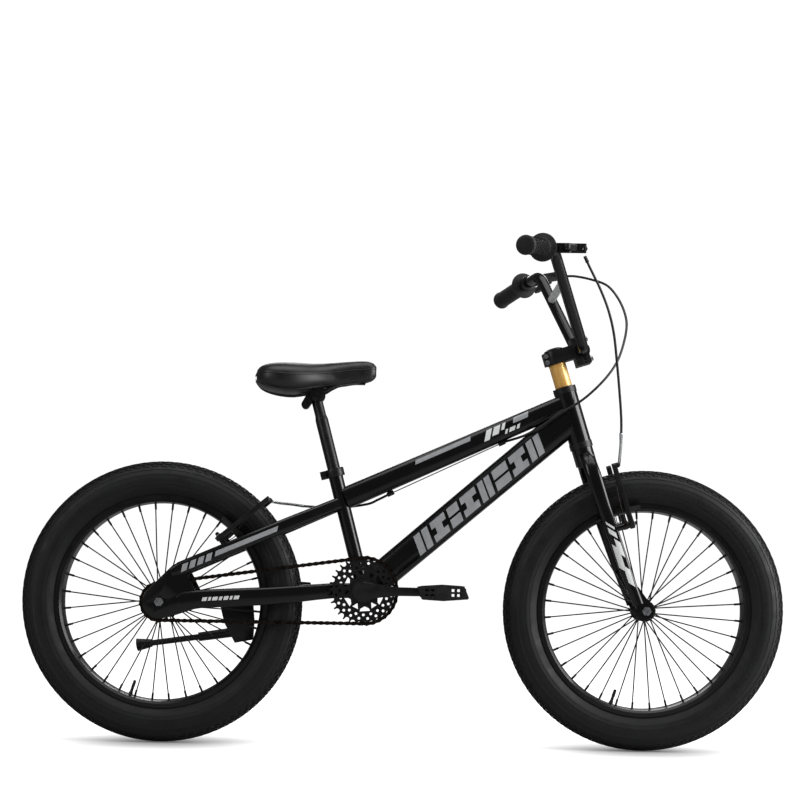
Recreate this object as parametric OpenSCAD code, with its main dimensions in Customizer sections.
// BMX bike: 20 inch wheels, wide tyres, single speed, two rim brakes.
// X points forward, Y to the rider's left, Z up. The origin is on the ground, midway between the axles.

/* [Wheels] */
// Distance between the two axles
wheelbase = 950; // [900:1:1000]
// Outer radius of a tyre
tyre_r = 277; // [270:1:300]
// Width of a tyre
tyre_w = 74; // [60:1:80]
// Wall of a tyre
tyre_wall = 4; // [3:0.5:6]
// Radius of the rim's bead seat
bead_r = 203; // [198:0.5:206]
// Width of a rim over its flanges
rim_w = 50; // [44:1:54]
// Depth of a rim from bead seat to nipple wall
rim_depth = 9; // [8:0.5:14]
// Number of spokes in a wheel
spoke_count = 36; // [28:4:40]
// Diameter of a spoke
spoke_d = 2.6; // [1.8:0.1:2.8]
// Diameter of both wheel axles
axle_d = 10; // [9:0.5:12]
// Width between the front dropouts
front_hub_w = 100; // [96:1:110]
// Width between the rear dropouts
rear_hub_w = 110; // [108:1:120]

/* [Frame] */
// Angle of the seat tube back from vertical
seat_lean = 15; // [12:0.5:18]
// Length of the seat tube from the crank axis
seat_tube_l = 248; // [240:1:300]
// Outer diameter of the seat tube
seat_tube_d = 28.6; // [28:0.1:32]
// Height of the crank axis above the wheel axles
crank_rise = 29; // [20:1:36]
// Diameter of the bottom bracket shell
shell_d = 40; // [38:0.5:44]
// Width of the bottom bracket shell
shell_w = 73; // [68:1:76]
// Outer diameter of the head tube
head_tube_d = 44; // [42:0.5:50]
// Depth of the top tube at the head tube
top_tube_front = 38; // [34:1:44]
// Depth of the top tube at the seat tube
top_tube_rear = 44; // [38:1:50]
// Width of the top tube
top_tube_w = 34; // [30:1:40]
// Depth of the down tube
down_tube_depth = 60; // [50:1:66]
// Width of the down tube
down_tube_w = 42; // [36:1:46]
// Wall of the top tube and the down tube
main_wall = 2.4; // [1.6:0.2:4]
// Depth of a seat stay
seat_stay_depth = 26.5; // [22:0.5:30]
// Thickness of a dropout plate
dropout_t = 6; // [5:0.5:8]

/* [Fork and steering] */
// Angle of the steering axis back from vertical
steer_lean = 17.5; // [15:0.5:20]
// Distance of the front axle in front of the steering axis
fork_rake = 25; // [20:1:32]
// Height of the fork crown's seat above the front axle
fork_l = 342; // [336:1:380]
// Length of head tube with both cups
head_l = 125; // [110:1:140]
// Diameter of the steerer tube
steerer_d = 28.6; // [25.4:0.1:30]
// Height of the coloured spacer
spacer_h = 48; // [20:1:50]
// Height of the stem's steerer clamp
stem_h = 27; // [24:1:36]
// Reach of the stem
stem_reach = 52; // [48:1:60]

/* [Handlebar] */
// Diameter of the handlebar tube
bar_d = 22.2; // [22:0.1:25.4]
// Diameter of the crossbar
crossbar_d = 16; // [14:0.5:19]
// Rise of the handlebar
bar_rise = 188; // [170:1:230]
// Half the width of the handlebar
bar_half = 370; // [350:1:390]
// Length of a grip
grip_l = 128; // [115:1:140]
// Diameter of a grip
grip_d = 34; // [30:0.5:38]
// Turn of the left brake lever about the bar
lever_turn_left = 15; // [0:1:25]
// Turn of the right brake lever about the bar
lever_turn_right = 0; // [0:1:25]

/* [Saddle and seatpost] */
// Diameter of the seatpost
post_d = 25.4; // [25:0.1:27.2]
// Length of the seatpost
post_l = 300; // [280:1:310]
// Height of the seatpost's top above the crank axis, along the post
post_reach = 390; // [380:1:440]
// Length of the saddle
saddle_l = 242; // [225:1:270]
// Width of the saddle at the rear
saddle_w = 158; // [140:1:180]

/* [Drive] */
// Teeth on the chainring
ring_teeth = 32; // [28:1:36]
// Teeth on the freewheel
cog_teeth = 18; // [16:1:20]
// Number of half-inch links in the chain
chain_links = 88; // [86:2:92]
// Length of a crank arm
crank_l = 152; // [140:1:160]
// Distance of the chain from the bike's middle plane
chain_y = 47; // [46:0.5:48]
// Distance of a crank arm's inner face from the middle plane
arm_y = 63; // [62:0.5:70]
// Length of a pedal along the bike
pedal_l = 97; // [85:1:105]
// Width of a pedal
pedal_w = 98; // [85:1:110]
// Diameter of the crank spindle
spindle_d = 17; // [15:0.5:19]

/* [Brakes and stand] */
// Distance of a brake arm's pivot from the wheel axle
brake_pivot_r = 172.5; // [170:0.5:175]
// Length of a brake arm
brake_arm_l = 118; // [114:1:122]
// Gap between a brake pad and the rim
pad_gap = 1.8; // [1.5:0.1:3]
// Length of the kickstand's leg
stand_l = 222; // [200:1:235]

/* [Clearances] */
// Radial clearance of a shaft that turns or slides in a bore
run_c = 0.05; // [0.03:0.01:0.1]
// Gap between faces that move past each other
face_c = 0.4; // [0.35:0.05:0.8]

/* [Hidden] */

paint = [0.05, 0.05, 0.055];
rubber = [0.09, 0.09, 0.1];
steel = [0.6, 0.6, 0.62];
LEFT = 1;
RIGHT = -1;

// Wheel centres and the crank axis
rear = [-wheelbase / 2, 0, tyre_r];
front = [wheelbase / 2, 0, tyre_r];
pitch = 12.7;
spare_links = chain_links - (ring_teeth + cog_teeth) / 2;
tooth_part = 8 * pow((ring_teeth - cog_teeth) / (2 * PI), 2);
chain_c = pitch * (spare_links + sqrt(pow(spare_links, 2) - tooth_part)) / 4;
crank = rear + [sqrt(pow(chain_c, 2) - pow(crank_rise, 2)), 0, crank_rise];
drive_angle = asin(crank_rise / chain_c);

// Steering frame: its origin is the foot of the front axle on the steering axis
steer_o = front - fork_rake * [cos(steer_lean), 0, sin(steer_lean)];
head_top = fork_l + head_l;
cup_h = 12;
spacer_z = head_top + face_c;
stem_z = spacer_z + spacer_h;
bar_z = stem_z + 11;
cap_h = 5;

// Seat tube frame: its origin is the crank axis, its z runs up the tube
top_joint = seat_tube_l - 62;
stay_joint = seat_tube_l - 70;

// Rear brake: the pivot's place and the arm's slope
rear_arm_slope = 39.8;
rear_pivot = rear + brake_pivot_r * [cos(48.1), 0, sin(48.1)];
// Front brake: the pivot's place in the steering frame
front_pivot_x = 46;
front_pivot_z = sqrt(pow(brake_pivot_r, 2) - pow(front_pivot_x - fork_rake, 2));
boss_r = 4;
pivot_y = 54;
cable_d = 5;
arm_t = 9;

// Half width between the dropouts' outer faces
rear_out = rear_hub_w / 2 + dropout_t;
front_out = front_hub_w / 2 + dropout_t;
nut_h = 9;
axle_end = 13;
arm_t_crank = 14;
pedal_gap = 1.5;
spindle_half = arm_y + arm_t_crank;

// Saddle: the tilt axis and the places along the saddle
saddle_x = -58;
rail_y = 22;
rail_d = 7;

// ---- helpers ----
function unit(v) = v / norm(v);

// A point between four points of a smooth curve
function curve_point(a, b, c, d, t) =
    0.5 * (2 * b + (c - a) * t + (2 * a - 5 * b + 4 * c - d) * t * t + (3 * b - a - 3 * c + d) * t * t * t);

// A smooth curve through points p with n steps between neighbours
function smooth(p, n) = [
    for (i = [0 : len(p) - 2], k = [0 : n - 1])
        curve_point(p[max(i - 1, 0)], p[i], p[i + 1], p[min(i + 2, len(p) - 1)], k / n),
    p[len(p) - 1]
];

// Straight runs through points p with each corner rounded over a length c
function rounded(p, c, n) = [
    p[0],
    for (i = [1 : len(p) - 2], k = [0 : n])
        let (a = p[i] + c * unit(p[i - 1] - p[i]), b = p[i] + c * unit(p[i + 1] - p[i]), t = k / n)
            (1 - t) * (1 - t) * a + 2 * t * (1 - t) * p[i] + t * t * b,
    p[len(p) - 1]
];

function heading(p, i) = unit(p[min(i + 1, len(p) - 1)] - p[max(i - 1, 0)]);

// Squared-off cosine and sine: e = 1 is a circle, a smaller e is squarer
function soft(v, e) = sign(v) * pow(abs(v), e);

// A solid swept along points p: each ring is depths[i] across side and widths[i] along it
module sweep(p, depths, widths, sides, ref = [0, 1, 0], e = 1) {
    n = len(p);
    points = [
        for (i = [0 : n - 1])
            let (d = heading(p, i), s = unit(cross(ref, d)), w = cross(d, s))
                for (j = [0 : sides - 1])
                    let (a = 360 * j / sides)
                        p[i] + s * depths[i] / 2 * soft(cos(a), e) + w * widths[i] / 2 * soft(sin(a), e)
    ];
    walls = [
        for (i = [0 : n - 2], j = [0 : sides - 1])
            let (k = (j + 1) % sides)
                [i * sides + j, (i + 1) * sides + j, (i + 1) * sides + k, i * sides + k]
    ];
    start = [for (j = [0 : sides - 1]) j];
    end = [for (j = [0 : sides - 1]) n * sides - 1 - j];
    polyhedron(points, concat(walls, [start, end]), convexity = 8);
}

// A round tube along a path
module tube(p, d, sides, ref = [0, 1, 0]) {
    sweep(p, [for (q = p) d], [for (q = p) d], sides, ref);
}

// A round bar between two points
module rod(a, b, r1, r2 = undef) {
    v = b - a;
    translate(a) rotate([0, acos(v[2] / norm(v)), atan2(v[1], v[0])])
        cylinder(h = norm(v), r1 = r1, r2 = is_undef(r2) ? r1 : r2, $fn = 48);
}

// A cylinder along Y from y1 to y2
module y_bar(r, y1, y2, at = [0, 0, 0], sides = 64) {
    translate(at + [0, max(y1, y2), 0]) rotate([90, 0, 0]) cylinder(h = abs(y2 - y1), r = r, $fn = sides);
}

// Two discs and the tangents between them
module link_2d(p1, r1, p2, r2) {
    v = p2 - p1;
    f = atan2(v[1], v[0]);
    g = acos((r1 - r2) / norm(v));
    translate(p1) circle(r = r1, $fn = 64);
    translate(p2) circle(r = r2, $fn = 64);
    polygon([
        p1 + r1 * [cos(f + g), sin(f + g)], p2 + r2 * [cos(f + g), sin(f + g)],
        p2 + r2 * [cos(f - g), sin(f - g)], p1 + r1 * [cos(f - g), sin(f - g)]
    ]);
}

// A band along points p, r[i] wide to each side, with round ends
module blade_2d(p, r) {
    n = len(p) - 1;
    function edge(i, a) = let (h = heading(p, i), f = atan2(h[1], h[0]) + a) p[i] + r[i] * [cos(f), sin(f)];
    polygon([
        for (i = [0 : n]) edge(i, -90),
        for (a = [-75 : 15 : 75]) edge(n, a),
        for (i = [n : -1 : 0]) edge(i, 90),
        for (a = [105 : 15 : 255]) edge(0, a)
    ]);
}

// A flat outline in the XZ plane given a thickness from y1 to y2
module plate(y1, y2) {
    translate([0, max(y1, y2), 0]) rotate([90, 0, 0]) linear_extrude(abs(y2 - y1)) children();
}

module steer_frame() {
    translate(steer_o) rotate([0, -steer_lean, 0]) children();
}

module seat_frame() {
    translate(crank) rotate([0, -seat_lean, 0]) children();
}

module front_brake_frame() {
    steer_frame() translate([front_pivot_x, 0, front_pivot_z]) children();
}

module rear_brake_frame() {
    translate(rear_pivot) rotate([0, 90 - rear_arm_slope, 0]) children();
}

function on_steer(p) =
    steer_o + p[0] * [cos(steer_lean), 0, sin(steer_lean)] + [0, p[1], 0]
    + p[2] * [-sin(steer_lean), 0, cos(steer_lean)];

function on_seat(x, z) = crank + x * [cos(seat_lean), 0, sin(seat_lean)] + z * [-sin(seat_lean), 0,
    cos(seat_lean)];

// ---- frame ----
module head_tube_space() {
    steer_frame() translate([0, 0, fork_l]) cylinder(h = head_l, r = head_tube_d / 2, $fn = 96);
}

module seat_tube_space() {
    seat_frame() cylinder(h = seat_tube_l, r = seat_tube_d / 2, $fn = 96);
}

module shell_space() {
    y_bar(shell_d / 2, -shell_w / 2, shell_w / 2, crank, 96);
}

module head_tube() {
    color(paint) steer_frame() translate([0, 0, fork_l + cup_h]) difference() {
        cylinder(h = head_l - 2 * cup_h, r = head_tube_d / 2, $fn = 96);
        translate([0, 0, -1]) cylinder(h = head_l, r = head_tube_d / 2 - 2.5, $fn = 96);
    }
}

// Where the two main tubes meet the head tube and the seat tube
top_front = on_steer([-6, 0, fork_l + 94]);
top_rear = on_seat(8, top_joint);
down_front = on_steer([-6, 0, fork_l + 63]);

module top_tube_solid() {
    sweep([top_rear, top_front], [top_tube_rear, top_tube_front], [top_tube_w, top_tube_w], 40, [0, 1,
        0], 0.72);
}

module down_tube_solid() {
    sweep([crank, down_front], [down_tube_depth - 3, down_tube_depth + 2], [down_tube_w, down_tube_w], 40,
          [0, 1, 0], 0.72);
}

// The hollows stop short of the rear ends and run out into the head tube
module top_tube_hollow() {
    run = unit(top_front - top_rear);
    w = top_tube_w - 2 * main_wall;
    sweep([top_rear + 14 * run, top_front], [top_tube_rear - 2 * main_wall, top_tube_front - 2 * main_wall],
          [w, w], 40, [0, 1, 0], 0.72);
}

module down_tube_hollow() {
    run = unit(down_front - crank);
    sweep([crank + 34 * run, down_front - 34 * run, down_front],
          [down_tube_depth - 3 - 2 * main_wall, down_tube_depth - 2 * main_wall, 28],
          [down_tube_w - 2 * main_wall, down_tube_w - 2 * main_wall, 24], 40, [0, 1, 0], 0.72);
}

module top_tube() {
    color(paint) difference() {
        top_tube_solid();
        top_tube_hollow();
        head_tube_space();
        seat_tube_space();
        down_tube_solid();
    }
}

module down_tube() {
    color(paint) difference() {
        down_tube_solid();
        down_tube_hollow();
        head_tube_space();
        shell_space();
        seat_tube_space();
    }
}

module seat_tube() {
    color(paint) difference() {
        seat_tube_space();
        shell_space();
        seat_frame() translate([0, 0, -1])
            cylinder(h = seat_tube_l + 2, r = post_d / 2 + run_c, $fn = 96);
    }
}

cup_r = shell_d / 2 - 2.6;
module bottom_bracket_shell() {
    color(paint) difference() {
        shell_space();
        y_bar(cup_r, -shell_w, shell_w, crank, 96);
    }
}

// Threaded cups with the bearing bore for the spindle
cup_w = 20;
module bottom_bracket_cups() {
    color(steel) for (side = [LEFT, RIGHT]) difference() {
        union() {
            y_bar(cup_r, side * (shell_w / 2 - cup_w), side * shell_w / 2, crank, 96);
            y_bar(shell_d / 2, side * shell_w / 2, side * (shell_w / 2 + 3.5), crank, 96);
        }
        y_bar(spindle_d / 2 + run_c, -shell_w, shell_w, crank, 96);
    }
}

// Stays pass the tyre's flanks, and the chain runs outside the right one near the crank
tyre_side = tyre_w / 2 + 7;
stay_t = 16;
chain_stay_points = [
    crank + [-12, 24, 0], crank + [-60, 29, -1], crank + [-90, 37, -4], crank + [-128, tyre_side + 7, -8],
    crank + [-190, tyre_side + 10, -14], [rear[0] + 80, rear_hub_w / 2 + 2, rear[2] + 7],
    [rear[0] + 44, rear_hub_w / 2 + 3, rear[2] + 2], [rear[0] + 34, rear_hub_w / 2 + 3, rear[2] + 1]
];
chain_stay_depths = [29, 30, 31, 33, 35, 36, 37, 26];
chain_stay_widths = [for (p = chain_stay_points) stay_t - 4 * max(0, (crank[0] - p[0] - 190) / 200)];

module chain_stays() {
    color(paint) for (side = [LEFT, RIGHT]) difference() {
        sweep([for (p = chain_stay_points) [p[0], side * p[1], p[2]]], chain_stay_depths,
              chain_stay_widths, 24, [0, 1, 0], 0.75);
        shell_space();
        dropout_space(side);
    }
}

stay_top = on_seat(-7, stay_joint);
stay_run = [rear[0] + 40, 0, rear[2] + 66] - stay_top;
stay_spread = [
    [0, 12], [0.14, 28], [0.31, tyre_side + 6], [0.6, tyre_side + 10], [1, rear_hub_w / 2 + 3],
    [1.06, rear_hub_w / 2 + 3]
];

stay_depths = [for (q = stay_spread) q[0] > 1 ? seat_stay_depth * 0.62 : seat_stay_depth];

module seat_stays() {
    color(paint) {
        for (side = [LEFT, RIGHT]) difference() {
            union() {
                sweep([for (q = stay_spread) stay_top + q[0] * stay_run + [0, side * q[1], 0]],
                      stay_depths, [17, 16, 15, 14, 12, 11], 24, [0, 1, 0], 0.75);
                rear_brake_frame() translate([arm_t / 2 + face_c, side * pivot_y, 0]) rotate([0, 90, 0])
                    cylinder(h = 16, r = 6.5, $fn = 48);
                rear_brake_frame() translate([1 - arm_t / 2, side * pivot_y, 0]) rotate([0, 90, 0])
                    cylinder(h = 18, r = boss_r, $fn = 48);
            }
            seat_tube_space();
            dropout_space(side);
        }
        rod(stay_top + 0.22 * stay_run + [0, 22, 6], stay_top + 0.22 * stay_run + [0, -22, 6], 7);
    }
}

// Dropout plates: a broad disc round the axle with arms to the stays
module dropout_outline() {
    link_2d([rear[0], rear[2]], 33, [rear[0] + 34, rear[2] + 60], 15);
    link_2d([rear[0], rear[2]], 33, [rear[0] + 62, rear[2] + 6], 19);
    link_2d([rear[0] + 34, rear[2] + 60], 15, [rear[0] + 62, rear[2] + 12], 12);
}

module dropout_space(side) {
    plate(side * rear_hub_w / 2, side * rear_out) dropout_outline();
}

module dropouts() {
    color(paint) for (side = [LEFT, RIGHT]) difference() {
        dropout_space(side);
        y_bar(axle_d / 2, -rear_out - 5, rear_out + 5, rear);
    }
}

module headset_cups() {
    color([0.12, 0.12, 0.13]) steer_frame() for (z = [fork_l, head_top - cup_h]) translate([0, 0,
        z]) difference() {
        cylinder(h = cup_h, r = head_tube_d / 2 + 1, $fn = 96);
        translate([0, 0, -1]) cylinder(h = cup_h + 2, r = steerer_d / 2 + run_c, $fn = 96);
    }
}

// A solid axle with its two nuts, from one dropout to the other
module axle(at, half_w, out) {
    y_bar(axle_d / 2, -(out + nut_h + axle_end), out + nut_h + axle_end, at);
    for (side = [LEFT, RIGHT]) {
        y_bar(9, side * out, side * (out + nut_h), at, 6);
        y_bar(8, side * (half_w - 4), side * half_w, at);
    }
}

module rear_axle() {
    color(steel) axle(rear, rear_hub_w / 2, rear_out);
}

clamp_h = 16;
clamp_r = seat_tube_d / 2 + 4.5;
module seat_clamp() {
    color([0.1, 0.1, 0.1]) seat_frame() difference() {
        union() {
            translate([0, 0, seat_tube_l - clamp_h]) cylinder(h = clamp_h, r = clamp_r, $fn = 64);
            translate([-clamp_r - 10, -8, seat_tube_l - clamp_h]) cube([14, 16, clamp_h]);
            y_bar(5, -15, 15, [-clamp_r - 5, 0, seat_tube_l - clamp_h / 2]);
        }
        translate([0, 0, seat_tube_l - clamp_h - 1]) cylinder(h = clamp_h + 2, r = seat_tube_d / 2,
            $fn = 96);
        translate([-clamp_r - 20, -1, seat_tube_l - clamp_h - 1]) cube([20, 2, clamp_h + 2]);
    }
}

// Barrels under the top tube that hold the ends of the rear brake's housing
stop_front = [190, 0, 603];
stop_rear = [-28, 0, 499];
stop_dir = unit(stop_front - stop_rear);
module cable_stops() {
    color(paint) for (p = [stop_front, stop_rear]) difference() {
        union() {
            rod(p - 7 * stop_dir, p + 7 * stop_dir, 4.5);
            translate(p) rotate([0, -asin(stop_dir[2]), 0]) translate([-5, -2, 0]) cube([10, 4, 14]);
        }
        rod(p - 8 * stop_dir, p + 8 * stop_dir, 2.6);
        top_tube_solid();
    }
}

// Kickstand bracket: a block under the left chain stay that carries the leg's pivot
stand_pivot = [-316, 80, 219];
stand_axis = [0.0326, -0.974, -0.2176];
stand_pin_r = 5;
module kickstand_bracket() {
    color(paint) difference() {
        union() {
            plate(46, 68) polygon([[-366, 276], [-300, 284], [-296, 240], [-298, 203], [-334, 196],
                [-356, 236]]);
            rod(stand_pivot + 14 * stand_axis, stand_pivot + 5 * stand_axis, 15);
        }
        sweep(chain_stay_points, chain_stay_depths, chain_stay_widths, 24, [0, 1, 0], 0.75);
        translate([-400, 0, 292]) cube([200, 100, 50]);
        translate([-400, 0, 190]) cube([200, 46.5, 200]);
    }
    color(paint) rod(stand_pivot + 6 * stand_axis, stand_pivot - 14 * stand_axis, stand_pin_r);
}

// ---- drive ----
ring_pitch_r = pitch / (2 * sin(180 / ring_teeth));
cog_pitch_r = pitch / (2 * sin(180 / cog_teeth));
wrap = asin((ring_pitch_r - cog_pitch_r) / chain_c);
touch = 90 + wrap;
run_links = chain_c * cos(wrap) / pitch;
s_top = ring_teeth * touch / 360;
s_rear = s_top + run_links;
s_low = s_rear + cog_teeth * (180 - 2 * wrap) / 360;
s_ring = s_low + run_links;
plate_h = 4.2;
roller_r = 3.85;

function arc_point(c, r, a) = [c + r * cos(a), r * sin(a)];

// The chain's centre line, counted in links from the front of the chainring
function chain_point(s) =
    s < s_top ? arc_point(0, ring_pitch_r, s * 360 / ring_teeth)
    : s < s_rear ? let (t = (s - s_top) / run_links)
        (1 - t) * arc_point(0, ring_pitch_r, touch) + t * arc_point(-chain_c, cog_pitch_r, touch)
    : s < s_low ? arc_point(-chain_c, cog_pitch_r, touch + (s - s_rear) * 360 / cog_teeth)
    : s < s_ring ? let (t = (s - s_low) / run_links)
        (1 - t) * arc_point(-chain_c, cog_pitch_r, -touch) + t * arc_point(0, ring_pitch_r, -touch)
    : arc_point(0, ring_pitch_r, -touch + (s - s_ring) * 360 / ring_teeth);

// The drive frame: x along the line of centres, the crank axis at the origin, at the chain's middle
module drive_frame() {
    translate([crank[0], -chain_y, crank[2]]) rotate([90, -drive_angle, 0]) children();
}

module chain_outline(h) {
    link_2d([0, 0], ring_pitch_r + h, [-chain_c, 0], cog_pitch_r + h);
}

module chain() {
    color(steel) drive_frame() {
        for (z = [-3.7, 1.7]) translate([0, 0, z]) linear_extrude(2) difference() {
            chain_outline(plate_h);
            chain_outline(-plate_h);
        }
        for (k = [0 : chain_links - 1]) translate(concat(chain_point(k), [-2])) cylinder(h = 4,
            r = roller_r, $fn = 24);
    }
}

// A toothed disc whose seats sit on the pitch circle
module sprocket_2d(teeth, pitch_r, phase) {
    seat = roller_r + 0.6;
    difference() {
        circle(r = pitch_r + 3.4, $fn = 96);
        for (k = [0 : teeth - 1]) rotate(phase + k * 360 / teeth) translate([pitch_r, 0]) {
            circle(r = seat, $fn = 24);
            polygon([[0, -seat], [5, -seat - 1.3], [5, seat + 1.3], [0, seat]]);
        }
    }
}

sprocket_t = 2.4;
hub_thread_r = 17;
module freewheel() {
    color(steel) translate([rear[0], -chain_y, rear[2]]) rotate([90, -drive_angle, 0]) difference() {
        union() {
            translate([0, 0, -sprocket_t / 2]) linear_extrude(sprocket_t)
                sprocket_2d(cog_teeth, cog_pitch_r, touch - s_rear * 360 / cog_teeth);
            translate([0, 0, -7]) cylinder(h = 12, r = 27, $fn = 64);
        }
        translate([0, 0, -10]) cylinder(h = 20, r = hub_thread_r + run_c, $fn = 96);
    }
}

ring_bore = 12;
module chainring() {
    color(paint) drive_frame() translate([0, 0, -sprocket_t / 2]) linear_extrude(sprocket_t) difference() {
        sprocket_2d(ring_teeth, ring_pitch_r, 0);
        circle(r = ring_bore, $fn = 64);
        for (k = [0 : 19]) {
            rotate(k * 18 + 5) translate([ring_pitch_r * 0.84, 0]) circle(r = 2.6, $fn = 24);
            rotate(k * 18 + 14) translate([ring_pitch_r * 0.725, 0]) circle(r = 2.6, $fn = 24);
        }
        for (k = [0 : 5]) {
            rotate(k * 60 + 30) translate([ring_pitch_r * 0.61, 0]) polygon([[0, -10], [0, 10], [-5,
                8], [-9, 0], [-5, -8]]);
            rotate(k * 60) translate([ring_pitch_r * 0.57, 0]) polygon([[0, -6], [0, 6], [-10, 0]]);
        }
    }
}

module crank_spindle() {
    color(steel) difference() {
        y_bar(spindle_d / 2, -spindle_half + 3, spindle_half - 3, crank);
        for (side = [LEFT, RIGHT]) y_bar(4, side * (spindle_half - 18), side * spindle_half, crank);
    }
}

// A crank arm's outline: a boss that narrows into a slim shank with an eye for the pedal
arm_boss_r = 17;
arm_radii = [arm_boss_r, 13, 8.6, 8.2, 12];
module arm_outline(c, dir) {
    blade_2d([for (x = [0, 30, 62, crank_l - 22, crank_l]) c + [dir * x, 0]], arm_radii);
}

// A crank arm along +X or -X with its boss on the spindle
module crank_arm(side, dir) {
    difference() {
        union() {
            plate(side * arm_y, side * spindle_half)
                arm_outline([crank[0], crank[2]], dir);
            y_bar(side == RIGHT ? 22 : arm_boss_r - 2, side * (chain_y + sprocket_t / 2), side * arm_y,
                crank);
        }
        y_bar(spindle_d / 2, -spindle_half + 3, spindle_half - 3, crank);
        y_bar(pedal_pin_r, -200, 200, crank + [dir * crank_l, 0, 0]);
    }
}

pedal_pin_r = 7;
pedal_shaft_r = 6;
module crank_arm_right() {
    color(paint) {
        crank_arm(RIGHT, 1);
        difference() {
            y_bar(ring_bore, -chain_y + sprocket_t / 2 + 3, -chain_y - sprocket_t / 2, crank);
            y_bar(spindle_d / 2, -200, 200, crank);
        }
    }
}

module crank_arm_left() {
    color(paint) crank_arm(LEFT, -1);
}

pedal_in = spindle_half + pedal_gap;
module pedal_axles() {
    color(steel) for (side = [LEFT, RIGHT]) {
        y_bar(pedal_pin_r, side * arm_y, side * (spindle_half + 1), crank - [side * crank_l, 0, 0]);
        y_bar(pedal_shaft_r, side * (spindle_half + 1), side * (pedal_in + pedal_w - 8),
            crank - [side * crank_l, 0, 0]);
    }
}

// Platform pedal: a hollow centre barrel, two end plates, a middle web and a cage, all with open windows
pedal_h = 27;
pedal_plate_t = 5;
pedal_bar_in = 8;
pedal_slant = 9;
pedal_windows = [-35, -24.5, 15.5, 26];
module pedal_cage_bar(at, side, x, low, high, h) {
    translate([at[0] + x, 0, at[2]]) rotate([90, 0, 0]) translate([0, 0, side > 0 ? -high : low])
        linear_extrude(high - low) square([5, h], center = true);
}

module pedal(side) {
    at = crank - [side * crank_l, 0, 0];
    x = pedal_l / 2;
    h = pedal_h / 2;
    out = pedal_in + pedal_w;
    web = pedal_in + pedal_w / 2;
    difference() {
        union() {
            y_bar(11.5, side * pedal_in, side * out, at);
            for (y = [pedal_in, out - pedal_plate_t]) translate([at[0], 0, at[2]])
                plate(side * y, side * (y + pedal_plate_t)) polygon([
                    [-x, h - 3], [-x + pedal_slant, h - 1], [0, h + 2], [x - pedal_slant, h],
                    [x, -h + 5], [x - 2, -h + 2], [0, -h - 2], [-x + pedal_slant, -h]
                ]);
            for (end = [-1, 1]) pedal_cage_bar(at, side, end * (x - pedal_bar_in), pedal_in, out, 18);
            translate([at[0], 0, at[2]]) plate(side * (web - 3), side * (web + 3))
                square([pedal_l - 12, 18], center = true);
        }
        y_bar(pedal_shaft_r + run_c, side * (pedal_in - 1), side * (out - 7), at);
        for (w = pedal_windows, z = [-7.5, 1.8])
            translate([at[0], 0, at[2]]) plate(side * (pedal_in - 1), side * (out + 1)) translate([w,
                z]) square([8.5, 5.7]);
        for (end = [-1, 1], q = [0.25, 0.75])
            translate([at[0] + end * (x - pedal_bar_in) - 5, side * (pedal_in + q * pedal_w) - 14,
                at[2] - 4])
                cube([10, 28, 8]);
    }
}

module pedal_left() {
    color(rubber) pedal(LEFT);
}

module pedal_right() {
    color(rubber) pedal(RIGHT);
}

// ---- wheels ----
front_flange_r = 17.5;
rear_flange_r = 26;
tyre_mid = (tyre_r + bead_r) / 2;
tyre_half_h = (tyre_r - bead_r) / 2;
bead_gap = 2.4;

// The tyre's outline: an oval with its beads inside the rim's flanges
module tyre(at) {
    steps = 48;
    outer = [for (i = [0 : steps - 1]) let (a = 360 * i / steps)
        [tyre_mid + tyre_half_h * cos(a), tyre_w / 2 * sin(a)]];
    inner = [for (i = [0 : steps - 1]) let (a = 360 * i / steps)
        [tyre_mid + (tyre_half_h - tyre_wall) * cos(a), (tyre_w / 2 - tyre_wall) * sin(a)]];
    bead_y = rim_w / 2 - bead_gap;
    translate(at) rotate([90, 0, 0]) rotate_extrude($fn = 180) difference() {
        union() {
            polygon(outer);
            polygon([[bead_r, -bead_y], [bead_r + 7, -bead_y], [bead_r + 16, -bead_y - 6], [bead_r + 30, 0],
                     [bead_r + 16, bead_y + 6], [bead_r + 7, bead_y], [bead_r, bead_y]]);
        }
        polygon(inner);
        translate([bead_r - 1, -bead_y + 5]) square([24, 2 * bead_y - 10]);
    }
}

rim_low = bead_r - rim_depth;
flange_h = 6;
module rim(at) {
    h = rim_w / 2;
    translate(at) rotate([90, 0, 0]) rotate_extrude($fn = 180) difference() {
        polygon([
            [rim_low, -h + 13], [rim_low + 2.5, -h + 4], [bead_r - 2, -h], [bead_r + flange_h, -h],
                [bead_r + flange_h, -h + bead_gap],
            [bead_r, -h + bead_gap], [bead_r, h - bead_gap], [bead_r + flange_h, h - bead_gap],
                [bead_r + flange_h, h],
            [bead_r - 2, h], [rim_low + 2.5, h - 4], [rim_low, h - 13]
        ]);
        polygon([[rim_low + 2, -h + 14], [rim_low + 4.5, -h + 7], [bead_r - 2, -h + 5], [bead_r - 2,
            h - 5], [rim_low + 4.5, h - 7], [rim_low + 2, h - 14]]);
    }
}

// Spokes leave alternate flanges, leaning a little forwards and back
hub_turn = 10;
nipple_r = 2.2;
hole_gap = 3;
module spokes(at, flange_r, y_left, y_right) {
    step = 360 / spoke_count;
    translate(at) for (i = [0 : spoke_count - 1]) {
        a = (i + 0.5) * step;
        side = i % 2 == 0 ? LEFT : RIGHT;
        turn = (floor(i / 2) % 2 == 0 ? 1 : -1);
        y = side == LEFT ? y_left + turn * hole_gap / 2 : y_right + turn * hole_gap / 2;
        b = a + turn * hub_turn;
        rim_end = [(rim_low - 0.25) * cos(a), side * 4, (rim_low - 0.25) * sin(a)];
        rod([flange_r * cos(b), y, flange_r * sin(b)], rim_end, spoke_d / 2);
        rod([(rim_low - 12) * cos(a), side * 4.6, (rim_low - 12) * sin(a)], rim_end, nipple_r);
    }
}

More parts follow.
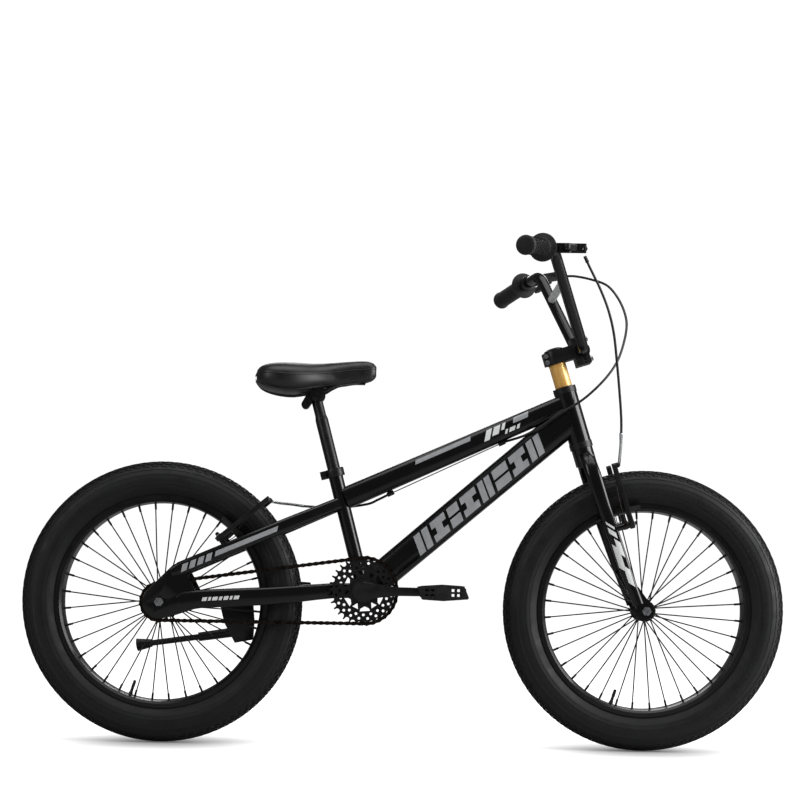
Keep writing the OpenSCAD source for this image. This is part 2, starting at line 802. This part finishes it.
// A hub shell on bearings: flanges at y1 and y2, its ends at e1 and e2
module hub(at, flange_r, y1, y2, e1, e2) {
    difference() {
        union() {
            y_bar(13, y1, y2, at);
            for (y = [y1, y2]) y_bar(flange_r + 3.5, y - 2, y + 2, at);
            y_bar(12, e1, e2, at);
            if (e2 < -44) {
                y_bar(hub_thread_r, e2, y2, at);
            }
        }
        y_bar(axle_d / 2 + run_c, -100, 100, at);
        y_bar(axle_d / 2 + 3, y1 - 6, y2 + 6, at);
        spokes(at, flange_r, y1, y2);
    }
}

front_flange = 33;
rear_flange_left = 33;
rear_flange_right = -30;
lock_gap = 4 + face_c;

module front_hub() {
    color(paint) hub(front, front_flange_r, front_flange, -front_flange,
        front_hub_w / 2 - lock_gap, -front_hub_w / 2 + lock_gap);
}

module rear_hub() {
    color(paint) hub(rear, rear_flange_r, rear_flange_left, rear_flange_right,
        rear_hub_w / 2 - lock_gap, -rear_hub_w / 2 + lock_gap);
}

module front_spokes() {
    color(paint) spokes(front, front_flange_r, front_flange, -front_flange);
}

module rear_spokes() {
    color(paint) spokes(rear, rear_flange_r, rear_flange_left, rear_flange_right);
}

module front_rim() {
    color(paint) rim(front);
}

module rear_rim() {
    color(paint) rim(rear);
}

module front_tyre() {
    color(rubber) tyre(front);
}

module rear_tyre() {
    color(rubber) tyre(rear);
}

// ---- fork ----
leg_y = front_hub_w / 2 + 4;
crown_low = fork_l - 34;
module fork_steerer() {
    color(paint) steer_frame() difference() {
        union() {
            translate([0, 0, crown_low]) cylinder(h = stem_z + stem_h - 3 - crown_low,
                r = steerer_d / 2, $fn = 96);
            translate([0, 0, crown_low]) cylinder(h = fork_l - face_c - crown_low, r = 21, $fn = 96);
        }
        translate([0, 0, crown_low - 1]) cylinder(h = stem_z + stem_h - crown_low + 2,
            r = steerer_d / 2 - 2.2, $fn = 96);
    }
}

// A fork leg: curved out of the crown, straight and tapered down to a plate at the axle
leg_points = [[0, 12, fork_l - 18], [0, 30, fork_l - 20], [1, 46, fork_l - 32], [2, leg_y,
    fork_l - 58], [3, leg_y, 220], [8, leg_y, 100], [14, leg_y, 16]];
leg_depths = [26, 28, 29, 29, 28, 24, 20];
leg_widths = [24, 23, 20, 18, 17, 15, 12];

module fork_leg(side) {
    steer_frame() difference() {
        union() {
            sweep([for (p = leg_points) [p[0], side * p[1], p[2]]], leg_widths, leg_depths, 24, [1, 0,
                0], 0.85);
            plate(side * front_hub_w / 2, side * front_out) blade_2d([[fork_rake, 0], [14, 44]], [15, 11]);
            translate([8, side * pivot_y, front_pivot_z]) rotate([0, 90, 0])
                cylinder(h = front_pivot_x - 8 - arm_t / 2 - face_c, r = 6.5, $fn = 48);
            translate([8, side * pivot_y, front_pivot_z]) rotate([0, 90, 0])
                cylinder(h = front_pivot_x - 8 + arm_t / 2 - 1, r = boss_r, $fn = 48);
        }
        cylinder(h = 600, r = 21, $fn = 96);
        y_bar(axle_d / 2, -200, 200, [fork_rake, 0, 0]);
        translate([-60, side > 0 ? 0 : -front_hub_w / 2, -40]) cube([120, front_hub_w / 2, 130]);
    }
}

module fork_leg_left() {
    color(paint) fork_leg(LEFT);
}

module fork_leg_right() {
    color(paint) fork_leg(RIGHT);
}

module front_axle() {
    color(steel) axle(front, front_hub_w / 2, front_out);
}

module headset_spacer() {
    color([0.85, 0.6, 0.2]) steer_frame() translate([0, 0, spacer_z]) difference() {
        union() {
            cylinder(h = spacer_h, r = 16.5, $fn = 96);
            for (z = [0, spacer_h - 3]) translate([0, 0, z]) cylinder(h = 3, r = 17.5, $fn = 96);
        }
        translate([0, 0, -1]) cylinder(h = spacer_h + 2, r = steerer_d / 2, $fn = 96);
    }
}

// ---- stem and handlebar, in the steering frame ----
stem_r = steerer_d / 2 + 5.5;
clamp_w = 50;
bolt_z = 20;
bolt_r = 3;

head_r = 4.8;
module stem_bolt_holes() {
    for (z = [-bolt_z, bolt_z], y = [-17, 17])
        rod([stem_reach - 14, y, bar_z + z], [stem_reach + 21, y, bar_z + z], bolt_r);
    for (z = [7, 20]) {
        y_bar(bolt_r, -21, 21, [-stem_r + 1, 0, stem_z + z]);
        y_bar(head_r + face_c, -21, -13, [-stem_r + 1, 0, stem_z + z]);
    }
}

module stem_body() {
    color(paint) steer_frame() difference() {
        union() {
            translate([0, 0, stem_z]) cylinder(h = stem_h, r = stem_r, $fn = 64);
            translate([0, -20, stem_z]) cube([stem_reach - 0.6, 40, stem_h]);
            translate([stem_reach - 16, -clamp_w / 2, bar_z - bolt_z - 8]) cube([15.4, clamp_w,
                2 * bolt_z + 16]);
            translate([-stem_r - 4, -13, stem_z + 1]) cube([12, 26, stem_h - 2]);
        }
        translate([0, 0, stem_z - 1]) cylinder(h = stem_h + 2, r = steerer_d / 2, $fn = 96);
        y_bar(bar_d / 2, -100, 100, [stem_reach, 0, bar_z]);
        translate([-40, -1, stem_z - 1]) cube([30, 2, stem_h + 2]);
        stem_bolt_holes();
    }
}

module stem_faceplate() {
    color(paint) steer_frame() difference() {
        union() {
            translate([stem_reach + 0.6, -clamp_w / 2, bar_z - bolt_z - 8]) cube([12, clamp_w,
                2 * bolt_z + 16]);
            y_bar(bar_d / 2 + 5, -clamp_w / 2, clamp_w / 2, [stem_reach, 0, bar_z]);
        }
        translate([stem_reach - 40, -50, bar_z - 60]) cube([40.6, 100, 120]);
        y_bar(bar_d / 2, -100, 100, [stem_reach, 0, bar_z]);
        stem_bolt_holes();
    }
}

module stem_bolts() {
    color(steel) steer_frame() {
        for (z = [-bolt_z, bolt_z], y = [-17, 17]) {
            rod([stem_reach - 13, y, bar_z + z], [stem_reach + 12.6, y, bar_z + z], bolt_r);
            rod([stem_reach + 12.6, y, bar_z + z], [stem_reach + 17.6, y, bar_z + z], 5);
        }
        for (z = [7, 20]) {
            y_bar(bolt_r, -13, 12, [-stem_r + 1, 0, stem_z + z]);
            y_bar(head_r, -13, -17, [-stem_r + 1, 0, stem_z + z]);
        }
    }
}

module top_cap() {
    color(paint) steer_frame() translate([0, 0, stem_z + stem_h]) {
        cylinder(h = 2, r = stem_r - 1, $fn = 64);
        translate([0, 0, 2]) cylinder(h = cap_h - 2, r1 = stem_r - 1, r2 = 12, $fn = 64);
    }
}

// The handlebar's corners on one side, in the steering frame
bar_bend = [36, 172, bar_z + bar_rise];
bar_end = [-35, bar_half, bar_z + bar_rise - 5];
bar_foot = [stem_reach, clamp_w / 2 + 26, bar_z];
bar_round = 24;
cross_at = 0.68;
function mirror_y(p) = [p[0], -p[1], p[2]];
bar_path = concat([for (i = [2 : -1 : 0]) mirror_y([bar_foot, bar_bend, bar_end][i])], [bar_foot,
    bar_bend, bar_end]);
grip_dir = unit(bar_end - bar_bend);

module handlebar() {
    p = bar_foot + cross_at * (bar_bend - bar_foot);
    color(paint) steer_frame() {
        tube(rounded(bar_path, bar_round, 8), bar_d, 32, [1, 0, 0.2]);
        rod(mirror_y(p), p, crossbar_d / 2);
    }
}

// Grips: a ribbed sleeve over the bar's end with a wide inner flange
module grip(side) {
    function at(t) = let (q = bar_end - t * grip_dir) [q[0], side * q[1], q[2]];
    steer_frame() difference() {
        union() {
            rod(at(grip_l), at(-4), grip_d / 2);
            rod(at(grip_l), at(grip_l - 5), 27);
            rod(at(2), at(-4), grip_d / 2 + 1.5);
        }
        rod(at(grip_l + 2), at(-0.2), bar_d / 2 + 0.02);
    }
}

module grip_left() {
    color(rubber) grip(LEFT);
}

module grip_right() {
    color(rubber) grip(RIGHT);
}

// ---- brake levers ----
// Lever frame of the left lever: the origin on the bar, z along the bar to its end, x forwards
pivot_x = 42;
pivot_in = -2;
barrel_x = 66;
lever_place = bar_end - (grip_l + 20) * grip_dir;
level = [cos(steer_lean), 0, -sin(steer_lean)];
lever_fwd = unit(level - (level * grip_dir) * grip_dir);
lever_down = cross(grip_dir, lever_fwd);

module mirrored(side) {
    if (side > 0) children();
    else mirror([0, 1, 0]) children();
}

module lever_frame(side, turn) {
    x = cos(turn) * lever_fwd - sin(turn) * lever_down;
    y = cross(grip_dir, x);
    z = grip_dir;
    mirrored(side) steer_frame() multmatrix([
        [x[0], y[0], z[0], lever_place[0]], [x[1], y[1], z[1], lever_place[1]], [x[2], y[2], z[2],
            lever_place[2]],
        [0, 0, 0, 1]
    ]) children();
}

// A clamp round the bar with two ears for the lever's pin and a barrel for the cable
ear_gap = 11.2;
ear_t = 3.4;
pin_r = 3;
module brake_perch(side, turn) {
    lever_frame(side, turn) difference() {
        union() {
            translate([0, 0, -9]) cylinder(h = 18, r = bar_d / 2 + 4, $fn = 64);
            translate([9, -8, -9]) cube([16, 16, 16]);
            for (y = [-ear_gap / 2 - ear_t, ear_gap / 2]) translate([0, y + ear_t, 0]) rotate([90, 0, 0])
                linear_extrude(ear_t) link_2d([20, -6], 9, [pivot_x, pivot_in], 7);
            translate([18, -9, -26]) cube([barrel_x - 12, 18, 9]);
            translate([14, -9, -22]) cube([12, 18, 16]);
            translate([barrel_x, 0, -38]) cylinder(h = 20, r = 5.5, $fn = 48);
        }
        translate([0, 0, -12]) cylinder(h = 24, r = bar_d / 2, $fn = 64);
        translate([barrel_x, 0, -40]) cylinder(h = 32, r = cable_d / 2 + 0.1, $fn = 32);
    }
    lever_frame(side, turn) y_bar(pin_r, -ear_gap / 2 - ear_t, ear_gap / 2 + ear_t, [pivot_x, 0, pivot_in]);
}

lever_t = ear_gap - 2 * face_c;
lever_points = [[pivot_x, pivot_in], [52, pivot_in + 8], [59, pivot_in + 22], [61, pivot_in + 40], [66,
    pivot_in + 104]];
lever_radii = [6.5, 5.6, 5, 5, 6];
module brake_lever(side, turn) {
    lever_frame(side, turn) difference() {
        plate(-lever_t / 2, lever_t / 2) blade_2d(lever_points, lever_radii);
        y_bar(pin_r + run_c, -20, 20, [pivot_x, 0, pivot_in]);
    }
}

module brake_perch_left() {
    color(paint) brake_perch(LEFT, lever_turn_left);
}

module brake_perch_right() {
    color(paint) brake_perch(RIGHT, lever_turn_right);
}

module brake_lever_left() {
    color(paint) brake_lever(LEFT, lever_turn_left);
}

module brake_lever_right() {
    color(paint) brake_lever(RIGHT, lever_turn_right);
}

// ---- rim brakes ----
// Arm frame: the pivot at the origin, z up the arm, x along the boss, the wheel's axle at axle_dx, -axle_dz
pad_l = 56;
pad_h = 9;
pad_r = bead_r - 0.5;
rim_side = rim_w / 2;
arm_mid_y = 48;
module brake_arm(side, axle_dx) {
    axle_dz = sqrt(pow(brake_pivot_r, 2) - axle_dx * axle_dx);
    pad_y = rim_side + pad_gap;
    pad_tilt = -asin(axle_dx / pad_r);
    difference() {
        union() {
            translate([-arm_t / 2, 0, 0]) rotate([90, 0, 90]) linear_extrude(arm_t)
                blade_2d([[side * pivot_y, 0], [side * (pivot_y - 3), 42], [side * arm_mid_y, brake_arm_l]],
                         [9, 7.5, 6]);
            translate([axle_dx, 0, -axle_dz]) rotate([0, pad_tilt, 0]) translate([0, side * (pad_y
                + 5), pad_r]) {
                translate([-pad_l / 2, -5, -pad_h / 2]) cube([pad_l, 10, pad_h]);
            }
            rod([0, side * (pad_y + 8), pad_r * cos(pad_tilt) - axle_dz], [0, side * pivot_y,
                pad_r * cos(pad_tilt) - axle_dz], 4);
        }
        translate([-arm_t, side * pivot_y, 0]) rotate([0, 90, 0]) cylinder(h = 2 * arm_t, r = boss_r
            + run_c, $fn = 48);
    }
}

module front_brake_arm_left() {
    color(paint) front_brake_frame() brake_arm(LEFT, fork_rake - front_pivot_x);
}

module front_brake_arm_right() {
    color(paint) front_brake_frame() brake_arm(RIGHT, fork_rake - front_pivot_x);
}

rear_dx = -(rear_pivot[0] - rear[0]) * sin(rear_arm_slope)
    + (rear_pivot[2] - rear[2]) * cos(rear_arm_slope);
module rear_brake_arm_left() {
    color(paint) rear_brake_frame() brake_arm(LEFT, rear_dx);
}

module rear_brake_arm_right() {
    color(paint) rear_brake_frame() brake_arm(RIGHT, rear_dx);
}

// ---- cables ----

front_route = [
    [329, -188, 945], [340, -180, 925], [362, -170, 885], [379, -158, 847], [392, -138, 806],
    [401, -118, 755], [409, -101, 700], [415, -88, 647], [416, -80, 600],
    [415, -75, 577], [415, -66, 565], [415, -55, 562]
];
loop_route = [
    [325, 188, 963], [344, 176, 962], [376, 150, 952], [406, 118, 935], [426, 84, 902], [436, 52, 865],
    [435, 28, 834], [424, 2, 793], [410, -14, 761], [384, -28, 726], [346, -36, 690],
    [303, -34, 662], [263, -25, 635], [233, -10, 618], [196, 0, 606]
];
rear_route = [
    [-34, 0, 496], [-52, 6, 487], [-74, 22, 478], [-125, 32, 471], [-190, 58, 472], [-225, 68, 476],
    [-248, 68, 478], [-262, 64, 480], [-268, 56.6, 481]
];

module front_brake_cable() {
    color(rubber) tube(smooth(front_route, 4), cable_d, 8, [1, 0.2, 0]);
}

module rear_brake_loop() {
    color(rubber) tube(smooth(loop_route, 4), cable_d, 8, [0.2, 0, 1]);
}

module rear_brake_cable() {
    color(rubber) tube(smooth(rear_route, 4), cable_d, 8, [0, 0, 1]);
    color(steel) rod(stop_rear + 7 * stop_dir, stop_front - 7 * stop_dir, 0.8);
}

// ---- seatpost and saddle ----
neck_r = 11;
neck_h = 34;
module seatpost() {
    color(paint) seat_frame() difference() {
        union() {
            translate([0, 0, post_reach - post_l]) cylinder(h = post_l - neck_h - 8, r = post_d / 2,
                $fn = 96);
            translate([0, 0, post_reach - neck_h - 8]) cylinder(h = 8, r1 = post_d / 2, r2 = neck_r,
                $fn = 96);
            translate([0, 0, post_reach - neck_h]) cylinder(h = neck_h, r = neck_r, $fn = 96);
        }
        translate([0, 0, post_reach - post_l - 1]) cylinder(h = post_l - neck_h - 10,
            r = post_d / 2 - 2.2, $fn = 96);
        translate([0, 0, post_reach - neck_h - 12]) cylinder(h = neck_h + 20, r = neck_r - 2.2, $fn = 96);
    }
}

post_tip = on_seat(0, post_reach);
tilt_axis = post_tip + [2, 0, 8];
// A boss behind the post carries the clamp's bolt; the post's top has room over the whole tilt
clamp_lobe = tilt_axis + [-23.6, 0, -19.7];
tilt_limit = 11;
module saddle_clamp() {
    color(steel) {
        difference() {
            union() {
                y_bar(15, -rail_y + 4, rail_y - 4, tilt_axis);
                for (side = [LEFT, RIGHT]) y_bar(13, side * (rail_y - 4), side * (rail_y + 8), tilt_axis);
                y_bar(4, -rail_y - 14, rail_y + 14, tilt_axis);
                y_bar(4.5, -19, 19, clamp_lobe);
                plate(-14, 14) blade_2d([[tilt_axis[0] - 10, tilt_axis[2] + 3], [clamp_lobe[0], clamp_lobe[2]]],
                    [9, 8]);
            }
            for (t = [-tilt_limit : tilt_limit / 2 : tilt_limit])
                translate(tilt_axis) rotate([0, t, 0]) translate(-tilt_axis) seat_frame()
                    translate([0, 0, post_reach - 40]) cylinder(h = 40 + face_c, r = neck_r + face_c, $fn = 96);
            for (side = [LEFT, RIGHT]) translate([tilt_axis[0] - 30, side * rail_y, tilt_axis[2] + 7])
                rotate([0, 90, 0]) cylinder(h = 60, r = rail_d / 2, $fn = 48);
        }
    }
}

// Rails: two wires from the rear of the shell, straight through the clamp, to the nose
rail_z = tilt_axis[2] + 7;
rail_points = [
    [-264, 40, 717], [-250, 37, 710], [-228, rail_y + 6, rail_z + 4], [-214, rail_y, rail_z], [-160,
        rail_y, rail_z],
    [-150, rail_y - 1, rail_z + 7], [-138, rail_y - 3, rail_z + 13], [-112, 14, rail_z + 20]
];
module saddle_rail_space() {
    for (side = [LEFT, RIGHT]) tube([for (p = rail_points) [p[0], side * p[1], p[2]]], rail_d, 16, [0,
        1, 0]);
}

module saddle_rails() {
    color(steel) saddle_rail_space();
}

// Saddle outline: half width, top and bottom heights along its length from rear (0) to nose (1)
saddle_rows = [
    // place, half width, top, skirt
    [0.00, 0.20, 722, 716], [0.015, 0.60, 737, 706], [0.06, 0.86, 748, 697], [0.16, 1.00, 753, 689],
        [0.30, 0.97, 753, 685],
    [0.43, 0.76, 751, 690], [0.55, 0.50, 751, 700], [0.68, 0.36, 754, 706], [0.80, 0.31, 758, 711],
        [0.90, 0.29, 760, 714],
    [0.96, 0.25, 758, 719], [0.99, 0.16, 751, 726], [1.00, 0.06, 742, 734]
];

module saddle_loft(rows, sides) {
    points = [for (r = rows, j = [0 : sides - 1])
        let (a = 360 * j / sides, mid = (r[2] + r[3]) / 2, half = (r[2] - r[3]) / 2)
            [saddle_x - saddle_l * (1 - r[0]), r[1] * saddle_w / 2 * soft(sin(a), 0.72), mid
                + half * soft(cos(a), 0.72)]];
    n = len(rows);
    walls = [for (i = [0 : n - 2], j = [0 : sides - 1]) let (k = (j + 1) % sides)
        [i * sides + j, i * sides + k, (i + 1) * sides + k, (i + 1) * sides + j]];
    polyhedron(points, concat(walls, [[for (j = [0 : sides - 1]) sides - 1 - j],
        [for (j = [0 : sides - 1]) (n - 1) * sides + j]]), convexity = 4);
}

// The shell lies in a hollow under the pad, inside its skirt
hollow_top = 722;
shell_low = 713;
hollow_rows = [for (i = [2 : 9]) [saddle_rows[i][0], saddle_rows[i][1] - 0.12, hollow_top
    + (saddle_rows[i][2] - 751) / 2, 600]];

module saddle_pad() {
    color(rubber) difference() {
        saddle_loft(saddle_rows, 28);
        saddle_loft(hollow_rows, 28);
        saddle_rail_space();
    }
}

module saddle_shell() {
    color(rubber) difference() {
        saddle_loft(hollow_rows, 28);
        translate([-400, -200, 500]) cube([400, 400, shell_low - 500]);
        saddle_rail_space();
    }
}

// ---- kickstand leg ----
leg_dir = unit([-205, 16, -31]);
module kickstand_leg() {
    head = stand_pivot - 2 * stand_axis;
    color(paint) difference() {
        union() {
            rod(stand_pivot - 14 * stand_axis, stand_pivot + (5 - face_c) * stand_axis, 12);
            rod(head - 3 * stand_axis, head + 95 * leg_dir, 10, 9);
            rod(head + 90 * leg_dir, head + (stand_l - 24) * leg_dir, 6);
            rod(head + (stand_l - 30) * leg_dir, head + stand_l * leg_dir, 8, 13);
        }
        rod(stand_pivot + 20 * stand_axis, stand_pivot - 30 * stand_axis, stand_pin_r + run_c);
    }
}

head_tube();
top_tube();
down_tube();
seat_tube();
bottom_bracket_shell();
seat_stays();
chain_stays();
dropouts();
headset_cups();
bottom_bracket_cups();
rear_axle();
seat_clamp();
cable_stops();
kickstand_bracket();
chain();
rear_brake_cable();
rear_brake_loop();
seatpost();
saddle_clamp();
saddle_rails();
saddle_shell();
saddle_pad();
fork_steerer();
fork_leg_left();
fork_leg_right();
front_axle();
headset_spacer();
stem_body();
stem_faceplate();
stem_bolts();
top_cap();
handlebar();
grip_left();
grip_right();
brake_perch_left();
brake_perch_right();
front_brake_cable();
brake_lever_left();
brake_lever_right();
front_brake_arm_left();
front_brake_arm_right();
rear_brake_arm_left();
rear_brake_arm_right();
front_tyre();
front_rim();
front_spokes();
front_hub();
rear_tyre();
rear_rim();
rear_spokes();
rear_hub();
freewheel();
crank_spindle();
crank_arm_left();
crank_arm_right();
chainring();
pedal_axles();
pedal_left();
pedal_right();
kickstand_leg();
